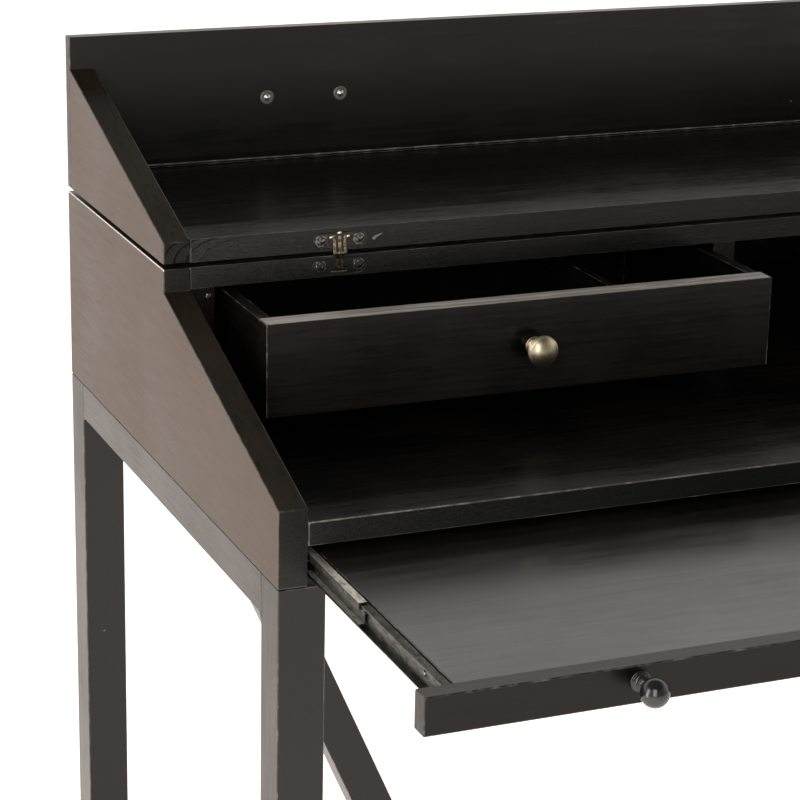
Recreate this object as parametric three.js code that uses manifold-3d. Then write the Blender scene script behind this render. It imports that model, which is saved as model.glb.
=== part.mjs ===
// Black lacquered writing desk on a square-leg base. Millimetres, +Z up, front towards -Y.
// It stands as it is used half open: the lid folded back on top, the left drawer and the writing
// tray pulled out, the right drawer closed. The origin is on the floor under the middle of the desk.
import * as THREE from 'three';
import { mergeVertices } from 'three/addons/utils/BufferGeometryUtils.js';
import Module from 'manifold-3d';

const wasm = await Module();
wasm.setup();

// ---- driving dimensions ----
const WIDTH = 1200;
const FIT = 0.25; // gap left at every glued or screwed joint

const LEG = 36;
const LEG_LENGTH = 712;
const APRON_HEIGHT = 31;
const APRON_THICKNESS = 20;
const APRON_COVE = 6;
const BRACE_TOP_OUTER = 74; // from the desk's side to the brace's outer top corner
const BRACE_RISE_PER_RUN = 2.25;

const CARCASS_DEPTH = 540;
const CARCASS_HEIGHT = 165;
const HINGE_DEPTH = 275; // back of the carcass to the front edge of its top board
const FRONT_EDGE_HEIGHT = 59.5; // short upright front edge of the side panels
const SIDE_THICKNESS = 22;
const HINGE_EDGE = 18.5; // short upright edge of the side panels at the hinge line
const TOP_BOARD = 17;
const LID_BOARD = 18.5;
const LIPPING_DEPTH = 39;
const PANEL_STEP = 0.8; // panels lie this much below their lippings
const BACK_THICKNESS = 12;
const FLOOR_BOTTOM = 30.5;
const FLOOR_BOARD = 18;
const FLOOR_LIPPING_DEPTH = 30.5;

const LID_GAP = 4;
const LID_PANEL_THICKNESS = 12;
const LID_PANEL_TOP = 300.7;
const LID_REAR = 1;
const CHEEK_CLEARANCE = 1; // how much lower the cheeks are than the side panels at the hinge line
const REAR_STRIP_DEPTH = 18;
const REAR_STRIP_RISE = 2.5;

const HINGE_OFFSET = 146; // side of the desk to the middle of a hinge
const LEAF_LENGTH = 45;
const LEAF_HEIGHT = 12.7;
const LEAF_DEPTH = 2.2;
const LEAF_PROUD = 0.3;
const KNUCKLE_RADIUS = 2;
const PIN_RADIUS = 0.9;
const PIN_CLEARANCE = 0.08;

const HANGER_THICKNESS = 20;
const HANGER_BOTTOM = 60;
const RUNNER_TOP = 69.5;
const RUNNER_WIDTH = 16;
const DRAWER_WIDTH = 435;
const DRAWER_OUTER_GAP = 7;
const DRAWER_INNER_GAP = 3;
const DRAWER_BOTTOM = 70;
const DRAWER_HEIGHT = 74;
const DRAWER_FRONT_THICKNESS = 19;
const DRAWER_SIDE_THICKNESS = 10;
const DRAWER_LENGTH = 245;
const DRAWER_DIVIDER = 312; // from the drawer's left end
const DRAWER_PULL = 100;
const DRAWER_KNOB_SHIFT = 5; // from the middle of a drawer's front, towards the middle of the desk

const TRAY_TOP = 24;
const TRAY_THICKNESS = 15;
const TRAY_LENGTH = 400;
const TRAY_FRONT_BOTTOM = 4.3;
const TRAY_FRONT_HEIGHT = 26.8;
const TRAY_FRONT_THICKNESS = 15;
const TRAY_PULL = 247;
const TRAY_KNOB_OFFSET = 148.5;
const TRAY_KNOB_RISE = 2.5; // above the middle of the tray's front

const SLIDE_MIDDLE_HEIGHT = 13.8; // height of a slide's centre line in the carcass
const SLIDE_HEIGHT = 18;
const SLIDE_WIDTH = 9.2;
const SLIDE_SHEET = 1;
const SLIDE_LENGTH = 300;
const SLIDE_MIDDLE_LENGTH = 252;
const SLIDE_MIDDLE_SETBACK = 30;

const HANDLE_OFFSET = 213;
const HANDLE_HEIGHT = 239;
const HANDLE_SPACING = 68;
const HANDLE_REACH = 24;
const HANDLE_RADIUS = 3.6;

// ---- finishes ----
const lacquer = () => new THREE.MeshStandardMaterial({ color: 0x17171a, roughness: 0.38, metalness: 0 });
const brass = () => new THREE.MeshStandardMaterial({ color: 0x8c7a52, roughness: 0.32, metalness: 1 });
const gloss = () => new THREE.MeshStandardMaterial({ color: 0x101012, roughness: 0.12, metalness: 0 });
const zinc = () => new THREE.MeshStandardMaterial({ color: 0x6f6e6a, roughness: 0.4, metalness: 1 });
const darkSteel = () => new THREE.MeshStandardMaterial({ color: 0x2b2a28, roughness: 0.45, metalness: 1 });

// ---- groups: every group's zero height is the underside of the carcass, except the base's ----
const handleBack = LID_REAR + FIT + HANDLE_REACH + HANDLE_RADIUS;
const BALL_REACH = 20;
const BALL_RADIUS = 9.7;
const trayFrontFace = -CARCASS_DEPTH - FIT - TRAY_FRONT_THICKNESS;
const knobTip = trayFrontFace - TRAY_PULL - FIT - BALL_REACH - BALL_RADIUS;
const desk = new THREE.Group();
desk.position.y = -(handleBack + knobTip) / 2;
const group = (y, z) => {
  const made = new THREE.Group();
  made.position.set(0, y, z);
  desk.add(made);
  return made;
};
const base = group(0, 0);
const carcass = group(0, LEG_LENGTH);
const lid = group(0, LEG_LENGTH);
const tray = group(-TRAY_PULL, LEG_LENGTH);
const trayMiddles = group(-TRAY_PULL / 2, LEG_LENGTH);
const leftDrawer = group(-DRAWER_PULL, LEG_LENGTH);
const rightDrawer = group(0, LEG_LENGTH);

// ---- helpers ----
function add(parent, name, geometry, material) {
  const mesh = new THREE.Mesh(geometry, material);
  mesh.name = name;
  parent.add(mesh);
  return mesh;
}

function box([x0, x1], [y0, y1], [z0, z1]) {
  const geometry = new THREE.BoxGeometry(x1 - x0, y1 - y0, z1 - z0);
  return geometry.translate((x0 + x1) / 2, (y0 + y1) / 2, (z0 + z1) / 2);
}

// A span between two lengths from the desk's side, on the left (-1) or the right (+1).
function fromSide(side, near, far) {
  const ends = [side * (WIDTH / 2 - near), side * (WIDTH / 2 - far)];
  return ends.sort((a, b) => a - b);
}

// Prism along X of an outline given in Y and Z.
function prismX(shape, [x0, x1], curveSegments = 8) {
  const geometry = new THREE.ExtrudeGeometry(shape, { depth: x1 - x0, bevelEnabled: false, curveSegments });
  const turn = new THREE.Matrix4().makeBasis(
    new THREE.Vector3(0, 1, 0), new THREE.Vector3(0, 0, 1), new THREE.Vector3(1, 0, 0));
  return geometry.applyMatrix4(turn).translate(x0, 0, 0);
}

// Prism along Y of an outline given in X and Z.
function prismY(shape, [y0, y1], curveSegments = 8) {
  const geometry = new THREE.ExtrudeGeometry(shape, { depth: y1 - y0, bevelEnabled: false, curveSegments });
  const turn = new THREE.Matrix4().makeBasis(
    new THREE.Vector3(1, 0, 0), new THREE.Vector3(0, 0, 1), new THREE.Vector3(0, -1, 0));
  return geometry.applyMatrix4(turn).translate(0, y1, 0);
}

function outline(points) {
  return new THREE.Shape(points.map(([a, b]) => new THREE.Vector2(a, b)));
}

function cylinderX(radius, [x0, x1], y, z, sides = 24) {
  const geometry = new THREE.CylinderGeometry(radius, radius, x1 - x0, sides);
  return geometry.rotateZ(Math.PI / 2).translate((x0 + x1) / 2, y, z);
}

function solid(geometry) {
  const bare = geometry.clone();
  bare.deleteAttribute('normal');
  bare.deleteAttribute('uv');
  const merged = mergeVertices(bare, 1e-4);
  return new wasm.Manifold(new wasm.Mesh({
    numProp: 3,
    vertProperties: new Float32Array(merged.attributes.position.array),
    triVerts: new Uint32Array(merged.index.array),
  }));
}

function toGeometry(manifold) {
  const mesh = manifold.getMesh();
  const geometry = new THREE.BufferGeometry();
  geometry.setAttribute('position', new THREE.BufferAttribute(mesh.vertProperties.slice(), 3));
  geometry.setIndex(new THREE.BufferAttribute(mesh.triVerts.slice(), 1));
  geometry.computeVertexNormals();
  return geometry;
}

const join = (...parts) => toGeometry(parts.map(solid).reduce((a, b) => a.add(b)));
const cut = (body, ...tools) => toGeometry(tools.map(solid).reduce((a, b) => a.subtract(b), solid(body)));

const SIDES = [['left', -1], ['right', 1]];
const between = WIDTH / 2 - SIDE_THICKNESS - FIT; // half the clear width inside the side panels

// ---- base: legs, aprons and the leaning struts at the back ----
const legTop = LEG_LENGTH - FIT;
const apronBottom = LEG_LENGTH - APRON_HEIGHT;
for (const [word, side] of SIDES) {
  const across = fromSide(side, 0, LEG);
  add(base, `leg_front_${word}`, box(across, [-CARCASS_DEPTH, LEG - CARCASS_DEPTH], [0, legTop]), lacquer());
  add(base, `leg_back_${word}`, box(across, [-LEG, 0], [0, legTop]), lacquer());

  // Side apron, flush with the legs outside, its lower edge swept into them by a small cove.
  const front = LEG - CARCASS_DEPTH + FIT;
  const back = -LEG - FIT;
  const shape = new THREE.Shape();
  shape.moveTo(front, legTop);
  shape.lineTo(front, apronBottom - APRON_COVE);
  shape.quadraticCurveTo(front + 1, apronBottom, front + APRON_COVE + 1, apronBottom);
  shape.lineTo(back - APRON_COVE - 1, apronBottom);
  shape.quadraticCurveTo(back - 1, apronBottom, back, apronBottom - APRON_COVE);
  shape.lineTo(back, legTop);
  shape.closePath();
  add(base, `apron_${word}`, prismX(shape, fromSide(side, 0, APRON_THICKNESS)), lacquer());
}
const insideLegs = WIDTH / 2 - LEG - FIT;
add(base, 'apron_back', box([-insideLegs, insideLegs], [-LEG, 0], [apronBottom, legTop]), lacquer());
const braceTop = apronBottom - FIT;
const braceBottom = 0;
const braceRun = (braceTop - braceBottom) / BRACE_RISE_PER_RUN;
const braceAcross = LEG * Math.hypot(1, 1 / BRACE_RISE_PER_RUN);
for (const [word, side] of SIDES) {
  const outer = WIDTH / 2 - BRACE_TOP_OUTER;
  const corners = [
    [side * outer, braceTop],
    [side * (outer - braceAcross), braceTop],
    [side * (outer - braceAcross - braceRun), braceBottom],
    [side * (outer - braceRun), braceBottom],
  ];
  add(base, `brace_${word}`, prismY(outline(corners), [-LEG, 0]), lacquer());
}

// ---- carcass ----
const hingeEdgeBottom = CARCASS_HEIGHT - HINGE_EDGE;
const topBottom = CARCASS_HEIGHT - TOP_BOARD;
for (const [word, side] of SIDES) {
  const profile = outline([
    [-CARCASS_DEPTH, 0], [0, 0], [0, CARCASS_HEIGHT], [-HINGE_DEPTH, CARCASS_HEIGHT],
    [-HINGE_DEPTH, hingeEdgeBottom], [-CARCASS_DEPTH, FRONT_EDGE_HEIGHT],
  ]);
  add(carcass, `side_panel_${word}`, prismX(profile, fromSide(side, 0, SIDE_THICKNESS)), lacquer());
}
const inner = [-between, between];
add(carcass, 'back_panel', box(inner, [-BACK_THICKNESS, 0], [0, topBottom - FIT]), lacquer());
add(carcass, 'top_board',
  box(inner, [LIPPING_DEPTH - HINGE_DEPTH + FIT, 0], [topBottom, CARCASS_HEIGHT - PANEL_STEP]), lacquer());
const floorTop = FLOOR_BOTTOM + FLOOR_BOARD;
const floorSeam = FLOOR_LIPPING_DEPTH - CARCASS_DEPTH;
add(carcass, 'floor_lipping', box(inner, [-CARCASS_DEPTH, floorSeam], [FLOOR_BOTTOM, floorTop]), lacquer());
add(carcass, 'floor_board', box(inner, [floorSeam + FIT, -BACK_THICKNESS - FIT],
  [FLOOR_BOTTOM + PANEL_STEP, floorTop - PANEL_STEP]), lacquer());

// Hangers under the top board, with the runners at their feet that carry the drawers.
const drawerOuter = between - HANGER_THICKNESS - DRAWER_OUTER_GAP;
const drawerInner = drawerOuter - DRAWER_WIDTH;
const hangerSpan = [2 - HINGE_DEPTH, -BACK_THICKNESS - FIT];
const hangerHeight = [HANGER_BOTTOM, topBottom - FIT];
const runnerHeight = [HANGER_BOTTOM, RUNNER_TOP];
for (const [word, side] of SIDES) {
  const near = SIDE_THICKNESS + FIT;
  const far = near + HANGER_THICKNESS;
  const innerNear = WIDTH / 2 - drawerInner + DRAWER_INNER_GAP;
  const innerFar = innerNear + HANGER_THICKNESS;
  add(carcass, `hanger_outer_${word}`, box(fromSide(side, near, far), hangerSpan, hangerHeight), lacquer());
  add(carcass, `hanger_inner_${word}`, box(fromSide(side, innerNear, innerFar), hangerSpan, hangerHeight), lacquer());
  add(carcass, `runner_outer_${word}`,
    box(fromSide(side, far + FIT, far + RUNNER_WIDTH), hangerSpan, runnerHeight), lacquer());
  add(carcass, `runner_inner_${word}`,
    box(fromSide(side, innerNear - FIT, innerNear - RUNNER_WIDTH), hangerSpan, runnerHeight), lacquer());
}

// ---- lid, folded back over the carcass ----
const lidBottom = CARCASS_HEIGHT + LID_GAP;
const shelfTop = lidBottom + LID_BOARD;
const panelFace = LID_REAR - LID_PANEL_THICKNESS;
const slope = (hingeEdgeBottom - FRONT_EDGE_HEIGHT) / (CARCASS_DEPTH - HINGE_DEPTH);
const cheekBack = panelFace - FIT;
const cheekStart = lidBottom + HINGE_EDGE - CHEEK_CLEARANCE;
add(lid, 'lid_front_panel',
  box([-WIDTH / 2, WIDTH / 2], [panelFace, LID_REAR], [lidBottom, LID_PANEL_TOP]), lacquer());
for (const [word, side] of SIDES) {
  const profile = outline([
    [-HINGE_DEPTH, lidBottom], [cheekBack, lidBottom],
    [cheekBack, cheekStart + slope * (cheekBack + HINGE_DEPTH)], [-HINGE_DEPTH, cheekStart],
  ]);
  add(lid, `lid_cheek_${word}`, prismX(profile, fromSide(side, 0, SIDE_THICKNESS)), lacquer());
}
const lippingSeam = LIPPING_DEPTH - HINGE_DEPTH;
add(lid, 'lid_board', box(inner, [lippingSeam + FIT, cheekBack], [lidBottom, shelfTop - PANEL_STEP]), lacquer());
add(lid, 'lid_rear_strip', box(inner, [cheekBack - REAR_STRIP_DEPTH, cheekBack],
  [shelfTop - PANEL_STEP + FIT, shelfTop + REAR_STRIP_RISE]), lacquer());

// Bow handles on the outside of the lid's front panel.
for (const [word, side] of SIDES) {
  const half = HANDLE_SPACING / 2;
  const centre = side * (WIDTH / 2 - HANDLE_OFFSET);
  const start = LID_REAR + FIT;
  const path = new THREE.CatmullRomCurve3([
    new THREE.Vector3(centre - half, start, HANDLE_HEIGHT),
    new THREE.Vector3(centre - half, start + HANDLE_REACH * 0.5, HANDLE_HEIGHT),
    new THREE.Vector3(centre - half * 0.8, start + HANDLE_REACH * 0.88, HANDLE_HEIGHT),
    new THREE.Vector3(centre, start + HANDLE_REACH, HANDLE_HEIGHT),
    new THREE.Vector3(centre + half * 0.8, start + HANDLE_REACH * 0.88, HANDLE_HEIGHT),
    new THREE.Vector3(centre + half, start + HANDLE_REACH * 0.5, HANDLE_HEIGHT),
    new THREE.Vector3(centre + half, start, HANDLE_HEIGHT),
  ]);
  const section = new THREE.Shape();
  section.absarc(0, 0, HANDLE_RADIUS, 0, Math.PI * 2);
  const bow = new THREE.ExtrudeGeometry(section, { extrudePath: path, steps: 28, curveSegments: 6 });
  add(lid, `lid_handle_${word}`, bow, brass());
}

// ---- concealed hinges: a leaf let into each front edge, knuckles round one pin ----
const axisY = -HINGE_DEPTH - 1;
const axisZ = CARCASS_HEIGHT + LID_GAP / 2;
const leafMiddle = (LID_GAP + TOP_BOARD) / 2; // from the pin to each leaf's centre line

function leafPlate(x, z, depth, proud, margin) {
  const radius = LEAF_HEIGHT / 2 + margin;
  const straight = (LEAF_LENGTH - LEAF_HEIGHT) / 2;
  const shape = new THREE.Shape();
  shape.absarc(x + straight, z, radius, -Math.PI / 2, Math.PI / 2);
  shape.absarc(x - straight, z, radius, Math.PI / 2, Math.PI * 1.5);
  shape.closePath();
  return prismY(shape, [-HINGE_DEPTH - proud, -HINGE_DEPTH + depth], 6);
}

// An arm in the gap between the closed boards, from the leaf to the knuckle.
function arm([x0, x1], direction) {
  const reach = [axisZ, axisZ + direction * leafMiddle].sort((a, b) => a - b);
  return box([x0, x1], [axisY - 0.2, -HINGE_DEPTH - LEAF_PROUD / 3], reach);
}

const hingeCentres = SIDES.map(([word, side]) => [word, side * (WIDTH / 2 - HINGE_OFFSET)]);
for (const [word, x] of hingeCentres) {
  const outerLeft = [x - 6.7, x - 2.7];
  const outerRight = [x + 2.7, x + 6.7];
  const middle = [x - 2.5, x + 2.5];
  add(carcass, `hinge_lower_${word}`, join(
    leafPlate(x, axisZ - leafMiddle, LEAF_DEPTH, LEAF_PROUD, 0),
    arm(outerLeft, -1), arm(outerRight, -1),
    cylinderX(KNUCKLE_RADIUS, outerLeft, axisY, axisZ), cylinderX(KNUCKLE_RADIUS, outerRight, axisY, axisZ),
    cylinderX(PIN_RADIUS, [x - 6, x + 6], axisY, axisZ),
  ), darkSteel());
  const upper = join(
    leafPlate(x, axisZ + leafMiddle, LEAF_DEPTH, LEAF_PROUD, 0),
    arm(middle, 1), cylinderX(KNUCKLE_RADIUS, middle, axisY, axisZ));
  const bore = cylinderX(PIN_RADIUS + PIN_CLEARANCE, [x - 8, x + 8], axisY, axisZ);
  add(lid, `hinge_upper_${word}`, cut(upper, bore), darkSteel());
}
const mortises = (z) => hingeCentres.map(([, x]) => leafPlate(x, z, LEAF_DEPTH + 0.4, 1, 0.3));
add(carcass, 'top_lipping', cut(
  box(inner, [-HINGE_DEPTH, lippingSeam], [topBottom, CARCASS_HEIGHT]),
  ...mortises(axisZ - leafMiddle)), lacquer());
add(lid, 'lid_lipping', cut(
  box(inner, [-HINGE_DEPTH, lippingSeam], [lidBottom, shelfTop]),
  ...mortises(axisZ + leafMiddle)), lacquer());

// ---- turned knobs, each profile running from its foot to its tip ----
function knob(profile, x, faceY, z) {
  const points = profile.map(([radius, reach]) => new THREE.Vector2(radius, reach));
  return new THREE.LatheGeometry(points, 32).rotateX(Math.PI).translate(x, faceY - FIT, z);
}
const mushroom = [
  [0, 0], [7, 0], [7, 1.6], [5.2, 3], [4.3, 7], [4.6, 11], [7.5, 13.2], [11.6, 14.6], [12.5, 16],
  [12.5, 18.2], [11.8, 19.4], [11, 19.6], [10.4, 20.4], [7.5, 22.6], [4, 23.8], [0, 24.2],
];
const BALL_NECK = 5;
const ball = [[0, 0], [7.2, 0], [7.2, 2], [5.4, 3], [4.3, 4.6], [4.3, 6], [6.2, 7], [6.2, 8.8], [BALL_NECK, 9.8]];
const neckAngle = Math.acos(BALL_NECK / BALL_RADIUS);
for (let step = 0; step <= 10; step += 1) {
  const angle = -neckAngle + (step / 10) * (Math.PI / 2 + neckAngle);
  const radius = step === 10 ? 0 : BALL_RADIUS * Math.cos(angle);
  ball.push([radius, BALL_REACH + BALL_RADIUS * Math.sin(angle)]);
}

// ---- drawers ----
function drawer(parent, prefix, x0, x1) {
  const top = DRAWER_BOTTOM + DRAWER_HEIGHT;
  const high = [DRAWER_BOTTOM, top - 1];
  const frontBack = DRAWER_FRONT_THICKNESS - HINGE_DEPTH;
  const boxFront = frontBack + FIT;
  const boxBack = DRAWER_LENGTH - HINGE_DEPTH;
  const insideBack = boxBack - DRAWER_SIDE_THICKNESS;
  const left = x0 + 1;
  const right = x1 - 1;
  const insideLeft = left + DRAWER_SIDE_THICKNESS + FIT;
  const insideRight = right - DRAWER_SIDE_THICKNESS - FIT;
  const bottomTop = DRAWER_BOTTOM + 9;
  const dividerX = x0 + DRAWER_DIVIDER;
  add(parent, `${prefix}_front`, box([x0, x1], [-HINGE_DEPTH, frontBack], [DRAWER_BOTTOM, top]), lacquer());
  add(parent, `${prefix}_side_left`, box([left, left + DRAWER_SIDE_THICKNESS], [boxFront, boxBack], high), lacquer());
  add(parent, `${prefix}_side_right`,
    box([right - DRAWER_SIDE_THICKNESS, right], [boxFront, boxBack], high), lacquer());
  add(parent, `${prefix}_back`, box([insideLeft, insideRight], [insideBack, boxBack], high), lacquer());
  add(parent, `${prefix}_bottom`,
    box([insideLeft, insideRight], [boxFront, insideBack - FIT], [bottomTop - 5, bottomTop]), lacquer());
  add(parent, `${prefix}_divider`,
    box([dividerX - 3, dividerX + 3], [boxFront, insideBack - FIT], [bottomTop + FIT, top - 8]), lacquer());
  const middle = (x0 + x1) / 2;
  const knobX = middle - Math.sign(middle) * DRAWER_KNOB_SHIFT;
  add(parent, `${prefix}_knob`, knob(mushroom, knobX, -HINGE_DEPTH, DRAWER_BOTTOM + DRAWER_HEIGHT / 2), brass());
}
drawer(leftDrawer, 'left_drawer', -drawerOuter, -drawerInner);
drawer(rightDrawer, 'right_drawer', drawerInner, drawerOuter);

// ---- writing tray on ball-bearing slides ----
const trayBack = -CARCASS_DEPTH + TRAY_LENGTH;
const slideInner = between - SLIDE_WIDTH; // where the tray's own edge starts
add(tray, 'tray_panel', box([FIT - slideInner, slideInner - FIT], [-CARCASS_DEPTH, trayBack],
  [TRAY_TOP - TRAY_THICKNESS, TRAY_TOP]), lacquer());
add(tray, 'tray_front', box([-WIDTH / 2, WIDTH / 2], [trayFrontFace, trayFrontFace + TRAY_FRONT_THICKNESS],
  [TRAY_FRONT_BOTTOM, TRAY_FRONT_BOTTOM + TRAY_FRONT_HEIGHT]), lacquer());
for (const [word, side] of SIDES) {
  const x = side * (WIDTH / 2 - TRAY_KNOB_OFFSET);
  const z = TRAY_FRONT_BOTTOM + TRAY_FRONT_HEIGHT / 2 + TRAY_KNOB_RISE;
  add(tray, `tray_knob_${word}`, knob(ball, x, trayFrontFace, z), gloss());
}

// A rail's section: its corners as the reach from the side panel and the height from the slide's middle.
function section(side, corners) {
  const wall = WIDTH / 2 - SIDE_THICKNESS;
  return outline(corners.map(([reach, rise]) => [side * (wall - reach), SLIDE_MIDDLE_HEIGHT + rise]));
}

// A C, its web at one reach from the side panel and its flanges running to another.
function channel(web, tip, height) {
  const face = web + Math.sign(tip - web) * SLIDE_SHEET;
  const edge = height / 2;
  const inside = edge - SLIDE_SHEET;
  return [
    [web, -edge], [tip, -edge], [tip, -inside], [face, -inside],
    [face, inside], [tip, inside], [tip, edge], [web, edge],
  ];
}

// The middle rail runs on the fixed one inside the tray's rail, and a lip on it hooks over the tray's rail.
const lip = SLIDE_HEIGHT / 2 + 0.5;
const hooked = [
  [1.6, lip + 0.9], [7.8, lip + 0.9], [7.8, lip], [2.4, lip], [2.4, 6], [6.8, 6], [6.8, -6], [2, -6],
  [2, -5.2], [6, -5.2], [6, 5.2], [1.6, 5.2],
];
const slideFront = 5 - CARCASS_DEPTH;
for (const [word, side] of SIDES) {
  const fixed = section(side, channel(FIT, 5, SLIDE_HEIGHT - 9.2));
  const middle = section(side, hooked);
  const moving = section(side, channel(SLIDE_WIDTH, 3, SLIDE_HEIGHT));
  add(carcass, `slide_fixed_${word}`, prismY(fixed, [slideFront, slideFront + SLIDE_LENGTH]), zinc());
  const middleFront = SLIDE_MIDDLE_SETBACK - CARCASS_DEPTH;
  add(trayMiddles, `slide_middle_${word}`,
    prismY(middle, [middleFront, middleFront + SLIDE_MIDDLE_LENGTH]), zinc());
  add(tray, `slide_moving_${word}`,
    prismY(moving, [FIT - CARCASS_DEPTH, FIT - CARCASS_DEPTH + SLIDE_LENGTH]), zinc());
}

export default desk;
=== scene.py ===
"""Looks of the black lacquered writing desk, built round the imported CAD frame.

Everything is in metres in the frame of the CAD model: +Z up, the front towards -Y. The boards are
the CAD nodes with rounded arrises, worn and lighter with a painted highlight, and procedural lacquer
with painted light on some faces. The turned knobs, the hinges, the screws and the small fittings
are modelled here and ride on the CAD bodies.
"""
import math

import bmesh
import bpy
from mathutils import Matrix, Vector


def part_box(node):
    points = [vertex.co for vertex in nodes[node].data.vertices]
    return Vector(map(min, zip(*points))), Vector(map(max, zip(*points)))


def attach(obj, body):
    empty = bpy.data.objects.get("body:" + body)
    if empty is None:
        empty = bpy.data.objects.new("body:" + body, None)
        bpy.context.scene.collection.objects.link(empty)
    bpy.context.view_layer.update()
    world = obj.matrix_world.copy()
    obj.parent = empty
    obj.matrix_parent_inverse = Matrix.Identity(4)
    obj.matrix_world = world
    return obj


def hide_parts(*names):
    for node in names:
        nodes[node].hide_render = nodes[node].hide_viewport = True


MM = 0.001
FRONT = Vector((0, -1, 0))
BACK = Vector((0, 1, 0))
LEFT = Vector((-1, 0, 0))
RIGHT = Vector((1, 0, 0))

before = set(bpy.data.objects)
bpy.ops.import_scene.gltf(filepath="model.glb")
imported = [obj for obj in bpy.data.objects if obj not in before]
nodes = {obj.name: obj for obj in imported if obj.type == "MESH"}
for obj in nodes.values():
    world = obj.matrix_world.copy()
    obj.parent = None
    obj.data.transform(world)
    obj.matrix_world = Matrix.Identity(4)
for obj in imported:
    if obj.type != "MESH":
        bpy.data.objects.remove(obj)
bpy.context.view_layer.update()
scene = bpy.context.scene


# ---- camera ----
camera_data = bpy.data.cameras.new("camera")
camera_data.lens = 115.6
camera_data.sensor_width = 36
camera = bpy.data.objects.new("camera", camera_data)
camera.location = (-1.1722, -1.7151, 1.4020)
camera.rotation_euler = [math.radians(angle) for angle in (71.92, -1.20, -22.38)]
scene.collection.objects.link(camera)
scene.camera = camera


# ---- node materials ----
class Recipe:
    """A node material being put together round one Principled shader."""

    def __init__(self, name):
        self.material = bpy.data.materials.new(name)
        self.material.use_nodes = True
        self.tree = self.material.node_tree
        self.shader = self.tree.nodes["Principled BSDF"]
        coordinates = self.add("ShaderNodeTexCoord")
        self.place = coordinates.outputs["Object"]
        self.facing = coordinates.outputs["Normal"]

    def add(self, kind, inputs=None, **settings):
        node = self.tree.nodes.new(kind)
        for key, value in settings.items():
            setattr(node, key, value)
        for key, value in (inputs or {}).items():
            self.feed(node.inputs[key], value)
        return node

    def feed(self, socket, value):
        if isinstance(value, bpy.types.NodeSocket):
            self.tree.links.new(value, socket)
        else:
            socket.default_value = value

    def set(self, **values):
        for key, value in values.items():
            self.feed(self.shader.inputs[key.replace("_", " ")], value)

    def math(self, operation, first, second=0.0):
        return self.add("ShaderNodeMath", {0: first, 1: second}, operation=operation).outputs[0]

    def vectors(self, operation, first, second=(0, 0, 0)):
        node = self.add("ShaderNodeVectorMath", {0: first, 1: second}, operation=operation)
        return node.outputs["Value" if operation == "LENGTH" else "Vector"]

    def noise(self, scale, detail=2.0, roughness=0.5, stretch=(1, 1, 1), distortion=0.0):
        where = self.add("ShaderNodeMapping", {"Vector": self.place, "Scale": stretch})
        texture = self.add("ShaderNodeTexNoise", {
            "Vector": where.outputs[0], "Scale": scale, "Detail": detail,
            "Roughness": roughness, "Distortion": distortion})
        return texture.outputs["Fac"]

    def part(self, vector, axis):
        return self.add("ShaderNodeSeparateXYZ", {0: vector}).outputs[axis]

    def away_from(self, point, flattening=1.0):
        """Distance from a point in metres, with heights counted flattening times."""
        offset = self.vectors("SUBTRACT", self.place, point)
        return self.vectors("LENGTH", self.vectors("MULTIPLY", offset, (1, 1, flattening)))

    def spread(self, value, low, high, to_low=0.0, to_high=1.0):
        """value from low..high spread over to_low..to_high, and held there outside."""
        return self.add("ShaderNodeMapRange", {
            "Value": value, "From Min": low, "From Max": high,
            "To Min": to_low, "To Max": to_high}).outputs[0]

    def mix(self, share, first, second):
        node = self.add("ShaderNodeMix", data_type="RGBA")
        for socket, value in ((node.inputs[0], share), (node.inputs[6], first), (node.inputs[7], second)):
            self.feed(socket, value)
        return node.outputs[2]

    def bump(self, height, depth, strength=1.0, below=None):
        inputs = {"Height": height, "Distance": depth, "Strength": strength}
        if below is not None:
            inputs["Normal"] = below
        return self.add("ShaderNodeBump", inputs).outputs[0]


INK = (0.0012, 0.0011, 0.0012, 1)
UMBER = (0.0045, 0.0033, 0.0024, 1)
# bare wood where the lacquer has flaked, also the colour of the painted highlight beside the saw cuts
BARE_AND_HIGHLIGHT = (0.20, 0.185, 0.165, 1)
GRAIN = {"x": (0.06, 1, 1), "y": (1, 0.06, 1), "z": (1, 1, 0.06)}


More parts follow.
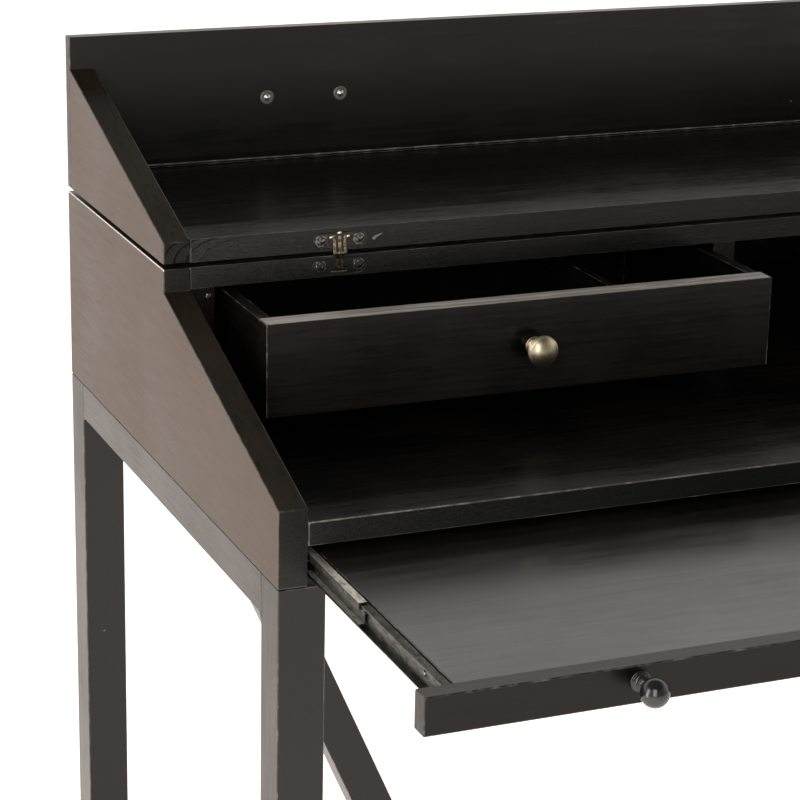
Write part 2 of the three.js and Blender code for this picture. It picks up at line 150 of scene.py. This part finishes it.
def lacquer(name, grain, roughness=0.22, wave=0.22, chips=0.765, scuffs=(), sides=None, tops=None,
            fronts=None, saw_marks=None, level=0.4, texture=1.0, spread=0.12):
    """Thin black lacquer wiped along the grain of an open-pored board, finely scratched and chipped.

    chips is the noise level above which it has flaked off, and scuffs are (point, reach) places
    with more of that. sides, tops and fronts colour the broad side faces, the upper faces and the
    front faces; the warm brown of sides is painted warm light, and fronts is painted light, lighter
    towards both ends of the desk and speckled. saw_marks is the centre, the smallest radius and the
    spacing of curved cuts at the left end of the lid's front, with painted shade in the cuts and a
    painted highlight along the outer edge of the innermost one. level is the specular level, texture
    scales the fine relief, and spread is how much rougher the dull patches are.
    """
    recipe = Recipe(name)
    streaks = recipe.noise(260, 4, 0.65, GRAIN[grain])
    scratches = recipe.noise(1500, 2, 0.5, tuple(0.3 * share if share < 1 else 1 for share in GRAIN[grain]))
    clouds = recipe.noise(9, 3, 0.55)
    swell = recipe.noise(26, 2, 0.5, GRAIN[grain], 0.4)
    peel = recipe.noise(420, 1, 0.5)
    both = recipe.math("ADD", streaks, clouds)
    colour = recipe.mix(recipe.spread(both, 0.85, 1.25), INK, UMBER)
    # painted light: faces across X turn a warm brown that stands in for warm light on the black lacquer
    if sides:
        broad = recipe.spread(recipe.math("ABSOLUTE", recipe.part(recipe.facing, "X")), 0.8, 0.95)
        colour = recipe.mix(broad, colour, recipe.mix(recipe.spread(both, 0.8, 1.2), *sides))
    if tops:
        upper = recipe.spread(recipe.part(recipe.facing, "Z"), 0.75, 0.92)
        colour = recipe.mix(upper, colour, recipe.mix(recipe.spread(both, 0.85, 1.2), *tops))
    # painted light: front faces lighter towards both ends of the desk, broken by a fine speckle
    if fronts:
        ahead = recipe.spread(recipe.part(recipe.facing, "Y"), -0.92, -0.75, 1, 0)
        ends = recipe.spread(recipe.math("ABSOLUTE", recipe.part(recipe.place, "X")), 0.25, 0.56, 0.3, 1)
        speckle = recipe.spread(recipe.noise(1100, 4, 0.7, (0.4, 1, 1)), 0.3, 0.75)
        lit_speckle = recipe.math("MULTIPLY", ends, speckle)
        colour = recipe.mix(ahead, colour, recipe.mix(lit_speckle, *fronts))
    worn = recipe.noise(75, 6, 0.62)
    for point, reach in scuffs:
        worn = recipe.math("ADD", worn, recipe.spread(recipe.away_from(point), 0, reach, 0.135, 0))
    flaked = recipe.spread(worn, chips, chips + 0.012)
    colour = recipe.mix(flaked, colour, BARE_AND_HIGHLIGHT)
    fine = recipe.math("ADD", recipe.math("MULTIPLY", scratches, 0.6), streaks)
    relief = recipe.bump(swell, 0.0014, wave)
    relief = recipe.bump(peel, 0.00003 * texture, 0.5, relief)
    relief = recipe.bump(fine, 0.00006 * texture, 0.5, relief)
    if saw_marks:
        centre, inner, pitch = saw_marks
        wander = recipe.math("MULTIPLY", recipe.noise(90, 2), 0.004)
        radius = recipe.math("ADD", recipe.away_from(centre, 2.4), wander)
        turn = recipe.math("FRACT", recipe.math("DIVIDE", recipe.math("SUBTRACT", radius, inner), pitch))
        cut = recipe.spread(recipe.part(recipe.facing, "Y"), -0.9, -0.7, 1, 0)
        height = recipe.part(recipe.place, "Z")
        across = recipe.part(recipe.place, "X")
        for limit in (recipe.spread(height, centre.z - 0.001, centre.z),
                      recipe.math("GREATER_THAN", radius, inner),
                      recipe.spread(across, centre.x - 0.004, centre.x + 0.006, 1, 0)):
            cut = recipe.math("MULTIPLY", cut, limit)
        # painted shade darkens the cuts, and a painted highlight runs along the outer edge of the innermost
        # one
        cut_shade = recipe.math("MULTIPLY", cut, recipe.spread(turn, 0.11, 0.18, 1, 0))
        cut_highlight = recipe.math("MULTIPLY", cut, recipe.spread(radius, inner + 0.0012, inner + 0.0024, 1, 0))
        cut_highlight = recipe.math("MULTIPLY", cut_highlight, recipe.spread(turn, 0.1, 0.14))
        cut_highlight = recipe.math("MULTIPLY", cut_highlight, recipe.spread(recipe.noise(150, 3), 0.4, 0.55, 0.05, 0.7))
        relief = recipe.bump(cut_shade, -0.0005, 0.8, relief)
        colour = recipe.mix(cut_shade, colour, (0.0012, 0.0012, 0.0012, 1))
        colour = recipe.mix(cut_highlight, colour, BARE_AND_HIGHLIGHT)
    relief = recipe.bump(flaked, -0.0002, 0.6, relief)
    recipe.set(
        Base_Color=colour,
        Roughness=recipe.spread(recipe.math("ADD", both, recipe.math("MULTIPLY", scratches, 0.4)),
                                0.9, 1.5, roughness - 0.04, roughness + spread),
        Specular_IOR_Level=level,
        Normal=relief,
    )
    return recipe.material


def worn_and_highlit_arris(name, dark, worn_and_lit, painted_highlight_at=None):
    """Lacquer worn thin along an arris, down to the wood in places, its lighter patches partly wear and
    partly a painted highlight, and optionally a pale painted highlight band all along an upper edge.
    """
    recipe = Recipe(name)
    patches = recipe.noise(70, 5, 0.7)
    share = recipe.spread(patches, 0.48, 0.66)
    # painted highlight: a pale band along the arris at the given height, on its sloping faces, broken by
    # noise
    if painted_highlight_at:
        height, pale = painted_highlight_at
        level = recipe.part(recipe.place, "Z")
        band = recipe.math("MULTIPLY", recipe.spread(level, height - 0.0016, height - 0.0012),
                           recipe.spread(level, height + 0.001, height + 0.002, 1, 0))
        top = recipe.math("MULTIPLY", band,
                          recipe.spread(recipe.math("ABSOLUTE", recipe.part(recipe.facing, "X")), 0.25, 0.4))
        breaks = recipe.spread(recipe.noise(160, 3, 0.6), 0.33, 0.42, 0.25, 1)
        colour = recipe.mix(recipe.math("MULTIPLY", top, breaks), recipe.mix(share, dark, worn_and_lit), pale)
    else:
        colour = recipe.mix(share, dark, worn_and_lit)
    recipe.set(
        Base_Color=colour,
        Roughness=recipe.spread(patches, 0.3, 0.7, 0.28, 0.5),
        Normal=recipe.bump(patches, 0.0002, 0.3),
    )
    return recipe.material


def metal(name, bright, dull, roughness, scale=120, low=0.42, high=0.68, rings=0.0):
    """Metal with a patchy patina, and turning marks round its own Z axis."""
    recipe = Recipe(name)
    patina = recipe.noise(scale, 4, 0.6)
    grime = recipe.noise(900, 2, 0.5)
    uneven = recipe.math("ADD", patina, grime)
    reach = recipe.vectors("LENGTH", recipe.vectors("MULTIPLY", recipe.place, (1, 1, 0)))
    turning = recipe.add("ShaderNodeTexNoise", {"W": reach, "Scale": 2600.0, "Detail": 2.0},
                         noise_dimensions="1D").outputs["Fac"]
    recipe.set(
        Metallic=1.0,
        Base_Color=recipe.mix(recipe.spread(patina, low, high), bright, dull),
        Roughness=recipe.spread(uneven, 0.7, 1.3, roughness - 0.04, roughness + 0.1),
        Normal=recipe.bump(turning, 0.00002, rings, recipe.bump(grime, 0.00001, 0.3)),
    )
    return recipe.material


def brushed(name, bright, dull, roughness, tops=None):
    """Plated strip steel, drawn along Y, with greasy patches. tops colours its upper faces as a painted
    highlight.
    """
    recipe = Recipe(name)
    lines = recipe.noise(900, 3, 0.6, (1, 0.02, 1))
    spots = recipe.noise(300, 5, 0.7, (1, 0.35, 1))
    colour = recipe.mix(recipe.spread(spots, 0.4, 0.62), bright, dull)
    # painted highlight on the upper faces
    if tops:
        upper = recipe.spread(recipe.part(recipe.facing, "Z"), 0.75, 0.92)
        colour = recipe.mix(upper, colour, recipe.mix(recipe.spread(spots, 0.5, 0.62), *tops))
    recipe.set(
        Metallic=1.0,
        Base_Color=colour,
        Roughness=recipe.spread(lines, 0.3, 0.7, roughness - 0.06, roughness + 0.1),
        Normal=recipe.bump(lines, 0.00005, 0.6),
    )
    return recipe.material


def painted(name, paint, under, roughness):
    """Steel under thin black paint, which is worn through in small places."""
    recipe = Recipe(name)
    patches = recipe.noise(350, 5, 0.65)
    recipe.set(
        Base_Color=recipe.mix(recipe.spread(patches, 0.6, 0.68), paint, under),
        Roughness=recipe.spread(recipe.noise(60, 3), 0.35, 0.65, roughness - 0.05, roughness + 0.08),
        Normal=recipe.bump(patches, 0.00006, 0.4),
    )
    return recipe.material


# ---- places taken from the CAD model ----
lid_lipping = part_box("lid_lipping")
top_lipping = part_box("top_lipping")
hinge_face = lid_lipping[0].y
pin_height = (lid_lipping[0].z + top_lipping[1].z) / 2
hinges = {}
for word in ("left", "right"):
    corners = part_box(f"hinge_upper_{word}")
    hinges[word] = Vector(((corners[0].x + corners[1].x) / 2, hinge_face, pin_height))
carcass_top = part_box("side_panel_left")[1].z

lacquer_along = {axis: lacquer(f"lacquer_{axis}", axis, level=0.34) for axis in "xyz"}
leg_lacquer = lacquer("lacquer_legs", "z", 0.26, 0.1, level=0.36)
# curved saw cuts at the left end of the lid's front, with painted shade in them and a painted highlight on
# the innermost edge
SAW_CENTRE = Vector((lid_lipping[0].x + 0.049, hinge_face, lid_lipping[0].z))
SAW_RADIUS = 0.043
SAW_PITCH = 0.0102
SAW_MARKS = (SAW_CENTRE, SAW_RADIUS, SAW_PITCH)
# sides paints warm light on the side faces as a warm brown; fronts paints light on the front faces, lighter
# towards the ends
side_lacquer = lacquer(
    "lacquer_side_panels", "y", 0.27, 0.12, level=0.13, saw_marks=SAW_MARKS,
    fronts=((0.006, 0.006, 0.0058, 1), (0.026, 0.0255, 0.024, 1)),
    sides=((0.034, 0.0185, 0.0103, 1), (0.052, 0.0305, 0.0185, 1)),
    tops=((0.009, 0.0062, 0.0035, 1), (0.016, 0.0115, 0.007, 1)))
lid_panel_lacquer = lacquer("lacquer_lid_panel", "x", 0.30, 0.16, 0.75, level=0.33)
# fronts paints light on the lippings' front faces, lighter towards the ends
lipping_lacquer = lacquer(
    "lacquer_lippings", "x", 0.26, 0.35, 0.735, tops=((0.003, 0.0029, 0.0027, 1), (0.0065, 0.006, 0.0055, 1)),
    fronts=((0.002, 0.002, 0.002, 1), (0.036, 0.0355, 0.034, 1)),
    level=0.3, texture=3.0, saw_marks=SAW_MARKS,
    scuffs=[(hinges["left"] + Vector((0.0275 + 0.0014 * step, 0, 0.0095 + 0.0006 * step)),
             0.0034 - 0.0003 * step) for step in range(8)])
# a painted highlight: these arrises are lighter than the lacquer all along, with worn patches
lipping_arris = worn_and_highlit_arris("arris_lippings", (0.05, 0.046, 0.04, 1), (0.2, 0.18, 0.15, 1))
drawer_lacquer = lacquer(
    "lacquer_drawer_fronts", "x", 0.24, 0.2,
    tops=((0.19, 0.172, 0.152, 1), (0.34, 0.31, 0.275, 1)))
tray_lacquer = lacquer("lacquer_tray", "x", 0.19, 0.02, level=0.63, texture=0.2, spread=0.05,
                       tops=((0.0035, 0.0033, 0.003, 1), (0.007, 0.0064, 0.0058, 1)))
tray_front_lacquer = lacquer("lacquer_tray_front", "x", 0.28, 0.2, level=0.22,
                             tops=((0.02, 0.019, 0.017, 1), (0.04, 0.037, 0.033, 1)))
arris = worn_and_highlit_arris("arris_worn_and_highlit", (0.008, 0.0075, 0.007, 1), (0.12, 0.105, 0.085, 1))
# a pale painted highlight band along the top arris of the carcass side panels
side_arris = worn_and_highlit_arris("arris_side_panels", (0.008, 0.007, 0.006, 1), (0.075, 0.062, 0.05, 1),
                    (carcass_top, (0.62, 0.59, 0.54, 1)))
old_brass = metal("old_brass", (0.50, 0.43, 0.30, 1), (0.32, 0.262, 0.177, 1), 0.32, rings=0.25)
hinge_brass = metal("hinge_brass", (0.44, 0.37, 0.24, 1), (0.10, 0.085, 0.055, 1), 0.3, 420, 0.44, 0.58)
nickel = metal("nickel", (0.78, 0.74, 0.64, 1), (0.45, 0.42, 0.36, 1), 0.3, 300)
dull_nickel = metal("dull_nickel", (0.24, 0.235, 0.22, 1), (0.13, 0.127, 0.12, 1), 0.45, 260)
hinge_paint = painted("hinge_paint", (0.008, 0.008, 0.008, 1), (0.11, 0.105, 0.095, 1), 0.3)
screw_paint = metal("screw_steel", (0.3, 0.295, 0.28, 1), (0.02, 0.02, 0.019, 1), 0.26, 380, 0.42, 0.6)
dark_zinc = brushed("dark_zinc", (0.13, 0.128, 0.12, 1), (0.03, 0.0295, 0.028, 1), 0.42)
# the middle members: dark zinc with a pale painted highlight on their upper faces
zinc_with_painted_highlight = brushed("zinc_with_painted_highlight", (0.10, 0.098, 0.092, 1), (0.025, 0.0245, 0.023, 1), 0.44,
                    ((0.95, 0.91, 0.80, 1), (0.45, 0.43, 0.38, 1)))


def gloss_black():
    recipe = Recipe("gloss_black")
    peel = recipe.noise(260, 2, 0.5)
    recipe.set(
        Base_Color=recipe.mix(peel, (0.006, 0.006, 0.0065, 1), (0.010, 0.010, 0.010, 1)),
        Roughness=recipe.spread(peel, 0.3, 0.7, 0.15, 0.2),
        Specular_IOR_Level=0.6,
        Normal=recipe.bump(peel, 0.00005, 0.25),
    )
    return recipe.material


glossy = gloss_black()


# ---- boards: the CAD nodes, with soft arrises ----
def finish_board(node, face, edge, width):
    """Lacquer on a CAD board, and its arrises rounded to width, worn and given a painted highlight."""
    board = nodes[node]
    board.data.materials.clear()
    board.data.materials.append(face)
    board.data.materials.append(edge)
    weld = board.modifiers.new("weld", "WELD")
    weld.merge_threshold = 0.00001
    bevel = board.modifiers.new("arris", "BEVEL")
    bevel.width = width
    bevel.segments = 3
    bevel.limit_method = "ANGLE"
    bevel.angle_limit = math.radians(25)
    bevel.material = 1


ALONG_Y = ("apron_left", "apron_right", "hanger_", "runner_", "left_drawer_side", "right_drawer_side",
           "left_drawer_divider", "right_drawer_divider")
METAL_NODES = {
    "slide_fixed_": dark_zinc, "slide_moving_": dark_zinc, "slide_middle_": zinc_with_painted_highlight,
    "hinge_": hinge_paint, "lid_handle_": old_brass, "left_drawer_knob": old_brass,
    "right_drawer_knob": old_brass, "tray_knob_": glossy,
}
BOARD_FINISHES = (
    (("side_panel_", "lid_cheek_"), side_lacquer, side_arris, 0.0009),
    (("tray_panel",), tray_lacquer, arris, 0.0006),
    (("tray_front",), tray_front_lacquer, arris, 0.0009),
    (("leg_", "brace_"), leg_lacquer, arris, 0.0009),
    (ALONG_Y, lacquer_along["y"], arris, 0.0007),
    (("lid_front_panel",), lid_panel_lacquer, arris, 0.0009),
    (("lid_lipping", "top_lipping", "floor_lipping"), lipping_lacquer, lipping_arris, 0.0009),
    (("left_drawer_front", "right_drawer_front"), drawer_lacquer, arris, 0.0008),
    (("lid_rear_strip", "lid_board", "floor_board"), lacquer_along["x"], lipping_arris, 0.0009),
    (("",), lacquer_along["x"], arris, 0.0009),
)
for name in sorted(nodes):
    made_of = next((finish for start, finish in METAL_NODES.items() if name.startswith(start)), None)
    if made_of:
        nodes[name].data.materials.clear()
        nodes[name].data.materials.append(made_of)
    else:
        face, edge, width = next(row[1:] for row in BOARD_FINISHES if name.startswith(row[0]))
        finish_board(name, face, edge, width)


# ---- pieces made here ----
def put(name, shape, body, finish, smooth_below=35.0):
    """A finished bmesh as an object that rides on a body."""
    mesh = bpy.data.meshes.new(name)
    bmesh.ops.recalc_face_normals(shape, faces=shape.faces)
    shape.to_mesh(mesh)
    shape.free()
    for face in mesh.polygons:
        face.use_smooth = True
    mesh.set_sharp_from_angle(angle=math.radians(smooth_below))
    mesh.materials.append(finish)
    piece = bpy.data.objects.new(name, mesh)
    scene.collection.objects.link(piece)
    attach(piece, body)
    return piece


def turned(name, profile, foot, towards, body, finish, turns=48):
    """Solid of revolution. The profile is (radius, reach) in millimetres from its foot to its tip."""
    shape = bmesh.new()
    spin = towards.to_track_quat("Z", "Y")
    rings = []
    for radius, reach in profile:
        count = turns if radius else 1
        angles = [2 * math.pi * step / count for step in range(count)]
        rings.append([shape.verts.new((radius * MM * math.cos(a), radius * MM * math.sin(a), reach * MM))
                      for a in angles])
    for near, far in zip(rings, rings[1:]):
        for step in range(turns):
            after = step + 1
            corners = [near[step % len(near)], near[after % len(near)],
                       far[after % len(far)], far[step % len(far)]]
            shape.faces.new(list(dict.fromkeys(corners)))
    piece = put(name, shape, body, finish)
    piece.rotation_mode = "QUATERNION"
    piece.rotation_quaternion = spin
    piece.location = foot
    return piece


def bead(radius, low, high, steps=6):
    """Half-round ring on a turned profile."""
    bulge = (high - low) / 2
    angles = [math.pi * (step / steps - 0.5) for step in range(steps + 1)]
    return [(radius - bulge + bulge * math.cos(a), low + bulge + bulge * math.sin(a)) for a in angles]


def cap(radius, low, high, steps=10):
    """Domed end of a turned profile."""
    sphere = (radius ** 2 + (high - low) ** 2) / (2 * (high - low))
    start = math.asin(min(1.0, radius / sphere))
    points = []
    for step in range(steps):
        angle = start * (1 - step / steps)
        points.append((sphere * math.sin(angle), high - sphere + sphere * math.cos(angle)))
    return points + [(0, high)]


def cove(start, end, steps=6):
    """Hollow quarter round between two (radius, reach) points."""
    angles = [math.pi / 2 * step / steps for step in range(1, steps + 1)]
    return [(start[0] + (end[0] - start[0]) * math.sin(a), start[1] + (end[1] - start[1]) * (1 - math.cos(a)))
            for a in angles]


def sweep(shape, outline, travel):
    """Closed prism: a flat outline carried along travel."""
    first = [shape.verts.new(point) for point in outline]
    last = [shape.verts.new(point + travel) for point in outline]
    shape.faces.new(first)
    shape.faces.new(last)
    for step in range(len(first)):
        after = (step + 1) % len(first)
        shape.faces.new((first[step], first[after], last[after], last[step]))


# ---- knobs ----
MUSHROOM = [
    (0, 0), *bead(7.4, 0, 1.5), *bead(6.4, 1.5, 2.7), *cove((5.6, 2.8), (4.3, 7)), (4.3, 9.4),
    (4.9, 11.0), (6.6, 12.2), *bead(10.6, 12.7, 13.6), (6.2, 13.7), (6.2, 15.2), *bead(12.5, 15.4, 17.2),
    (11.4, 17.3), (11.4, 17.6), *bead(12.3, 17.7, 19.2), *cap(11.4, 19.3, 24.1, 14)]
BALL_STEPS = 24
for side in ("left", "right"):
    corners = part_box(f"{side}_drawer_knob")
    foot = Vector(((corners[0].x + corners[1].x) / 2, corners[1].y, (corners[0].z + corners[1].z) / 2))
    knob = turned(f"{side}_drawer_turned_knob", MUSHROOM, foot, FRONT, f"{side}_drawer", old_brass,
                  64)
    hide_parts(f"{side}_drawer_knob")

    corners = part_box(f"tray_knob_{side}")
    foot = Vector(((corners[0].x + corners[1].x) / 2, corners[1].y, (corners[0].z + corners[1].z) / 2))
    length = (corners[1].y - corners[0].y) / MM
    radius = (corners[1].z - corners[0].z) / 2 / MM
    neck = 4.6
    start = math.acos(neck / radius)
    ball = [(0, 0), *bead(7.3, 0, 1.3), *bead(6.7, 1.3, 2.3), (5.6, 2.5), *cove((5.4, 2.6), (4.2, 5)),
            (4.2, 6), (5.4, 6.5), *bead(6.1, 6.6, 7.7), *bead(5.7, 7.7, 8.6), (neck, 9.2)]
    for step in range(BALL_STEPS):
        angle = -start + step / BALL_STEPS * (math.pi / 2 + start)
        ball.append((radius * math.cos(angle), length - radius + radius * math.sin(angle)))
    ball.append((0, length))
    knob = turned(f"tray_ball_knob_{side}", ball, foot, FRONT, "tray", glossy, 64)
    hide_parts(f"tray_knob_{side}")


# ---- hinges ----
LEAF = (45.0, 12.7)
LEAF_PROUD = 0.3
LEAF_DEPTH = 2.0
LEAF_MIDDLE = 10.5
SCREW_SPACING = 16.15
PIN_REACH = 1.0
BARREL = 1.9
HINGE_SCREW = [(0, -0.4), (5.0, -0.4), (5.0, 0.1), (4.75, 0.3), (4.35, 0.3), (4.1, 0.02), (3.6, 0.02),
               (3.35, 0.28), (2.5, 0.42), (1.5, 0.42), (1.25, 0.05), (0, 0)]
RIVETS = ((-7.1, 2.4), (7.1, 2.4), (0, 5.6))
UPPER_FINGERS = ((-5.6, -3.3), (-1.2, 1.2), (3.3, 5.6))
LOWER_FINGERS = ((-3.1, -1.4), (1.4, 3.1))
BAR = [(0.2, -14.6), (0.8, -14.8), (0.8, -16.1), (0.2, -16.3)]
BAR_WIDTH = 13.6
LEAF_END_STEPS = 32


def at_hinge(centre, x, reach, rise):
    """Point x to the right of a hinge's middle, reach in front of the boards and rise above its pin."""
    return centre + Vector((x, -reach, rise)) * MM


def round_arris(piece, width):
    bevel = piece.modifiers.new("arris", "BEVEL")
    bevel.width = width
    bevel.segments = 2
    bevel.limit_method = "ANGLE"


def hinge_leaf(name, centre, direction, body):
    """Plate with half-round ends, let into the front edge of a board."""
    shape = bmesh.new()
    radius = LEAF[1] / 2
    straight = LEAF[0] / 2 - radius
    outline = []
    for step in range(LEAF_END_STEPS + 1):
        angle = math.pi * step / LEAF_END_STEPS - math.pi / 2
        outline.append((straight + radius * math.cos(angle), radius * math.sin(angle)))
    outline += [(-x, -z) for x, z in outline]
    middle = direction * LEAF_MIDDLE
    sweep(shape, [at_hinge(centre, x, LEAF_PROUD, middle + z) for x, z in outline], BACK * LEAF_DEPTH * MM)
    leaf = put(name, shape, body, hinge_paint)
    round_arris(leaf, 0.22 * MM)
    return leaf


def hinge_fingers(name, centre, direction, spans, body):
    """Links from a leaf to the pin, each ending in a barrel round it."""
    side = [(PIN_REACH + BARREL * math.cos(a), -BARREL * math.sin(a))
            for a in (math.pi * (1 - step / 10) for step in range(11))]
    side += [(1.9, 2.0), (1.25, 4.2), (1.0, 8.4), (0.9, 14.2), (0.5, 14.9), (0.1, 14.9), (0.1, 3.0),
             (-0.5, 1.7)]
    shape = bmesh.new()
    for low_x, high_x in spans:
        outline = [at_hinge(centre, low_x, reach, direction * rise) for reach, rise in side]
        sweep(shape, outline, RIGHT * (high_x - low_x) * MM)
    if direction < 0:
        outline = [at_hinge(centre, -BAR_WIDTH / 2, reach, rise) for reach, rise in BAR]
        sweep(shape, outline, RIGHT * BAR_WIDTH * MM)
    links = put(name, shape, body, hinge_brass)
    round_arris(links, 0.15 * MM)
    return links


for word, centre in hinges.items():
    for level, direction, spans, body in (("upper", 1, UPPER_FINGERS, "lid"),
                                          ("lower", -1, LOWER_FINGERS, "frame")):
        leaf = hinge_leaf(f"hinge_{level}_{word}_leaf", centre, direction, body)
        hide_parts(f"hinge_{level}_{word}")
        hinge_fingers(f"hinge_{level}_{word}_links", centre, direction, spans, body)
        for number, x in enumerate((-SCREW_SPACING, SCREW_SPACING), 1):
            turned(f"hinge_{level}_{word}_screw_{number}", HINGE_SCREW,
                   at_hinge(centre, x, LEAF_PROUD, direction * LEAF_MIDDLE), FRONT, body, screw_paint,
                   32)
    for number, (x, rise) in enumerate(RIVETS, 1):
        turned(f"hinge_{word}_rivet_{number}", [(0, -0.2), (1.6, -0.2), *cap(1.6, 0, 0.8, 5)],
               at_hinge(centre, x, LEAF_PROUD, LEAF_MIDDLE + rise), FRONT, "lid", nickel, 24)


# ---- handle screws inside the lid, and rosettes at the feet of the bow handles outside ----
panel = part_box("lid_front_panel")
WASHER = [(0, -0.2), (6.5, -0.2), (6.5, 0.25), (6.1, 0.75), (5.2, 0.95), (4.4, 0.85), (4.0, 0.4), (0, 0.4)]
SCREW_DOME = [(0, 0.2), (3.0, 0.2), (3.0, 0.7), *cap(2.8, 0.8, 2.2, 6)]
ROSETTE = [(0, -0.1), *bead(8.6, 0, 1.3), *bead(7.4, 1.3, 2.2), (6.4, 2.3), *cap(6.2, 2.4, 4.2, 8)]
HANDLE_RADIUS = 3.6
for word in ("left", "right"):
    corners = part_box(f"lid_handle_{word}")
    height = (corners[0].z + corners[1].z) / 2
    for number, x in enumerate((corners[0].x + HANDLE_RADIUS * MM, corners[1].x - HANDLE_RADIUS * MM), 1):
        inside = Vector((x, panel[0].y, height))
        turned(f"lid_handle_{word}_washer_{number}", WASHER, inside, FRONT, "lid", dull_nickel, 40)
        turned(f"lid_handle_{word}_screw_{number}", SCREW_DOME, inside, FRONT, "lid", nickel, 32)
        turned(f"lid_handle_{word}_rosette_{number}", ROSETTE, Vector((x, panel[1].y, height)), BACK, "lid",
               old_brass, 40)


# ---- screws through the hangers, the slides and the struts ----
WOOD_SCREW = [(0, -0.3), (2.6, -0.3), (2.6, 0.05), (2.3, 0.3), (1.4, 0.4), (0.8, 0.4), (0.6, 0.1), (0, 0.05)]
PAN_SCREW = [(0, -0.2), (2.3, -0.2), (2.3, 0.3), (2.0, 0.8), (1.2, 1.0), (0.8, 1.0), (0.6, 0.5), (0, 0.4)]
HANGER_SCREW_INSET = 5
HANGER_SCREW_DROPS = (8, 66)
RAIL_WEB = 1
SLIDE_SCREWS_BACK = (54, 158, 222)
for word in ("left", "right"):
    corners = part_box(f"hanger_outer_{word}")
    inward = 1 if word == "left" else -1
    middle = (corners[0].x + corners[1].x) / 2 + inward * HANGER_SCREW_INSET * MM
    for number, drop in enumerate(HANGER_SCREW_DROPS, 1):
        head = Vector((middle, corners[0].y, corners[1].z - drop * MM))
        turned(f"hanger_{word}_screw_{number}", WOOD_SCREW, head, FRONT, "frame", screw_paint, 28)
    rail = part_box(f"slide_moving_{word}")
    outward = LEFT if word == "left" else RIGHT
    web = rail[1].x - RAIL_WEB * MM if word == "left" else rail[0].x + RAIL_WEB * MM
    centre_height = (rail[0].z + rail[1].z) / 2
    for number, back in enumerate(SLIDE_SCREWS_BACK, 1):
        head = Vector((web, rail[0].y + back * MM, centre_height))
        turned(f"slide_{word}_screw_{number}", PAN_SCREW, head, outward, "tray", screw_paint, 28)


# ---- studio ----
def studio():
    """A white surround, darker in front of the desk, a pale floor and soft boxes."""
    world = bpy.data.worlds.new("studio")
    world.use_nodes = True
    scene.world = world
    tree = world.node_tree
    background = tree.nodes["Background"]
    direction = tree.nodes.new("ShaderNodeTexCoord")
    axes = tree.nodes.new("ShaderNodeSeparateXYZ")
    tree.links.new(direction.outputs["Generated"], axes.inputs[0])

    def fade(axis, start, end, first, last):
        ramp = tree.nodes.new("ShaderNodeMapRange")
        ramp.interpolation_type = "SMOOTHSTEP"
        for key, value in (("From Min", start), ("From Max", end), ("To Min", first), ("To Max", last)):
            ramp.inputs[key].default_value = value
        tree.links.new(axes.outputs[axis], ramp.inputs["Value"])
        return ramp.outputs[0]

    both = tree.nodes.new("ShaderNodeMath")
    both.operation = "MULTIPLY"
    tree.links.new(fade("Y", -0.8, -0.1, 0.3, 1.25), both.inputs[0])
    tree.links.new(fade("Z", 0.42, 0.8, 1.0, 0.1), both.inputs[1])
    tree.links.new(both.outputs[0], background.inputs["Strength"])
    background.inputs["Color"].default_value = (1, 0.96, 0.92, 1)

    for name, spot, aim, size, power in (
        ("box_near_camera", (-1.6, -2.5, 1.8), (-0.45, -0.4, 0.75), (1.2, 2.5), 41),
        ("box_left", (-2.9, -0.6, 1.2), (-0.45, -0.4, 0.75), (0.65, 2.4), 34),
        ("box_above", (0.2, -0.2, 3.0), (0, 0, 0.8), (1.6, 1.6), 12),
    ):
        light = bpy.data.lights.new(name, "AREA")
        light.shape = "RECTANGLE"
        light.size, light.size_y = size
        light.energy = power
        lamp = bpy.data.objects.new(name, light)
        lamp.location = spot
        lamp.visible_glossy = name != "box_above"
        lamp.rotation_euler = (Vector(aim) - Vector(spot)).to_track_quat("-Z", "Y").to_euler()
        scene.collection.objects.link(lamp)

    half = 14.0
    mesh = bpy.data.meshes.new("floor")
    corners = [(-half, -half, 0), (half, -half, 0), (half, half, 0), (-half, half, 0)]
    mesh.from_pydata(corners, [], [(0, 1, 2, 3)])
    floor = bpy.data.objects.new("floor", mesh)
    paint = Recipe("floor_paint")
    speckle = paint.noise(4, 2)
    paint.set(Base_Color=paint.mix(speckle, (0.94, 0.90, 0.87, 1), (0.95, 0.915, 0.885, 1)), Roughness=0.7)
    paint.shader.inputs["Emission Color"].default_value = (1, 0.88, 0.81, 1)
    paint.shader.inputs["Emission Strength"].default_value = 0.98
    mesh.materials.append(paint.material)
    scene.collection.objects.link(floor)
    scene.view_settings.view_transform = "Standard"


studio()
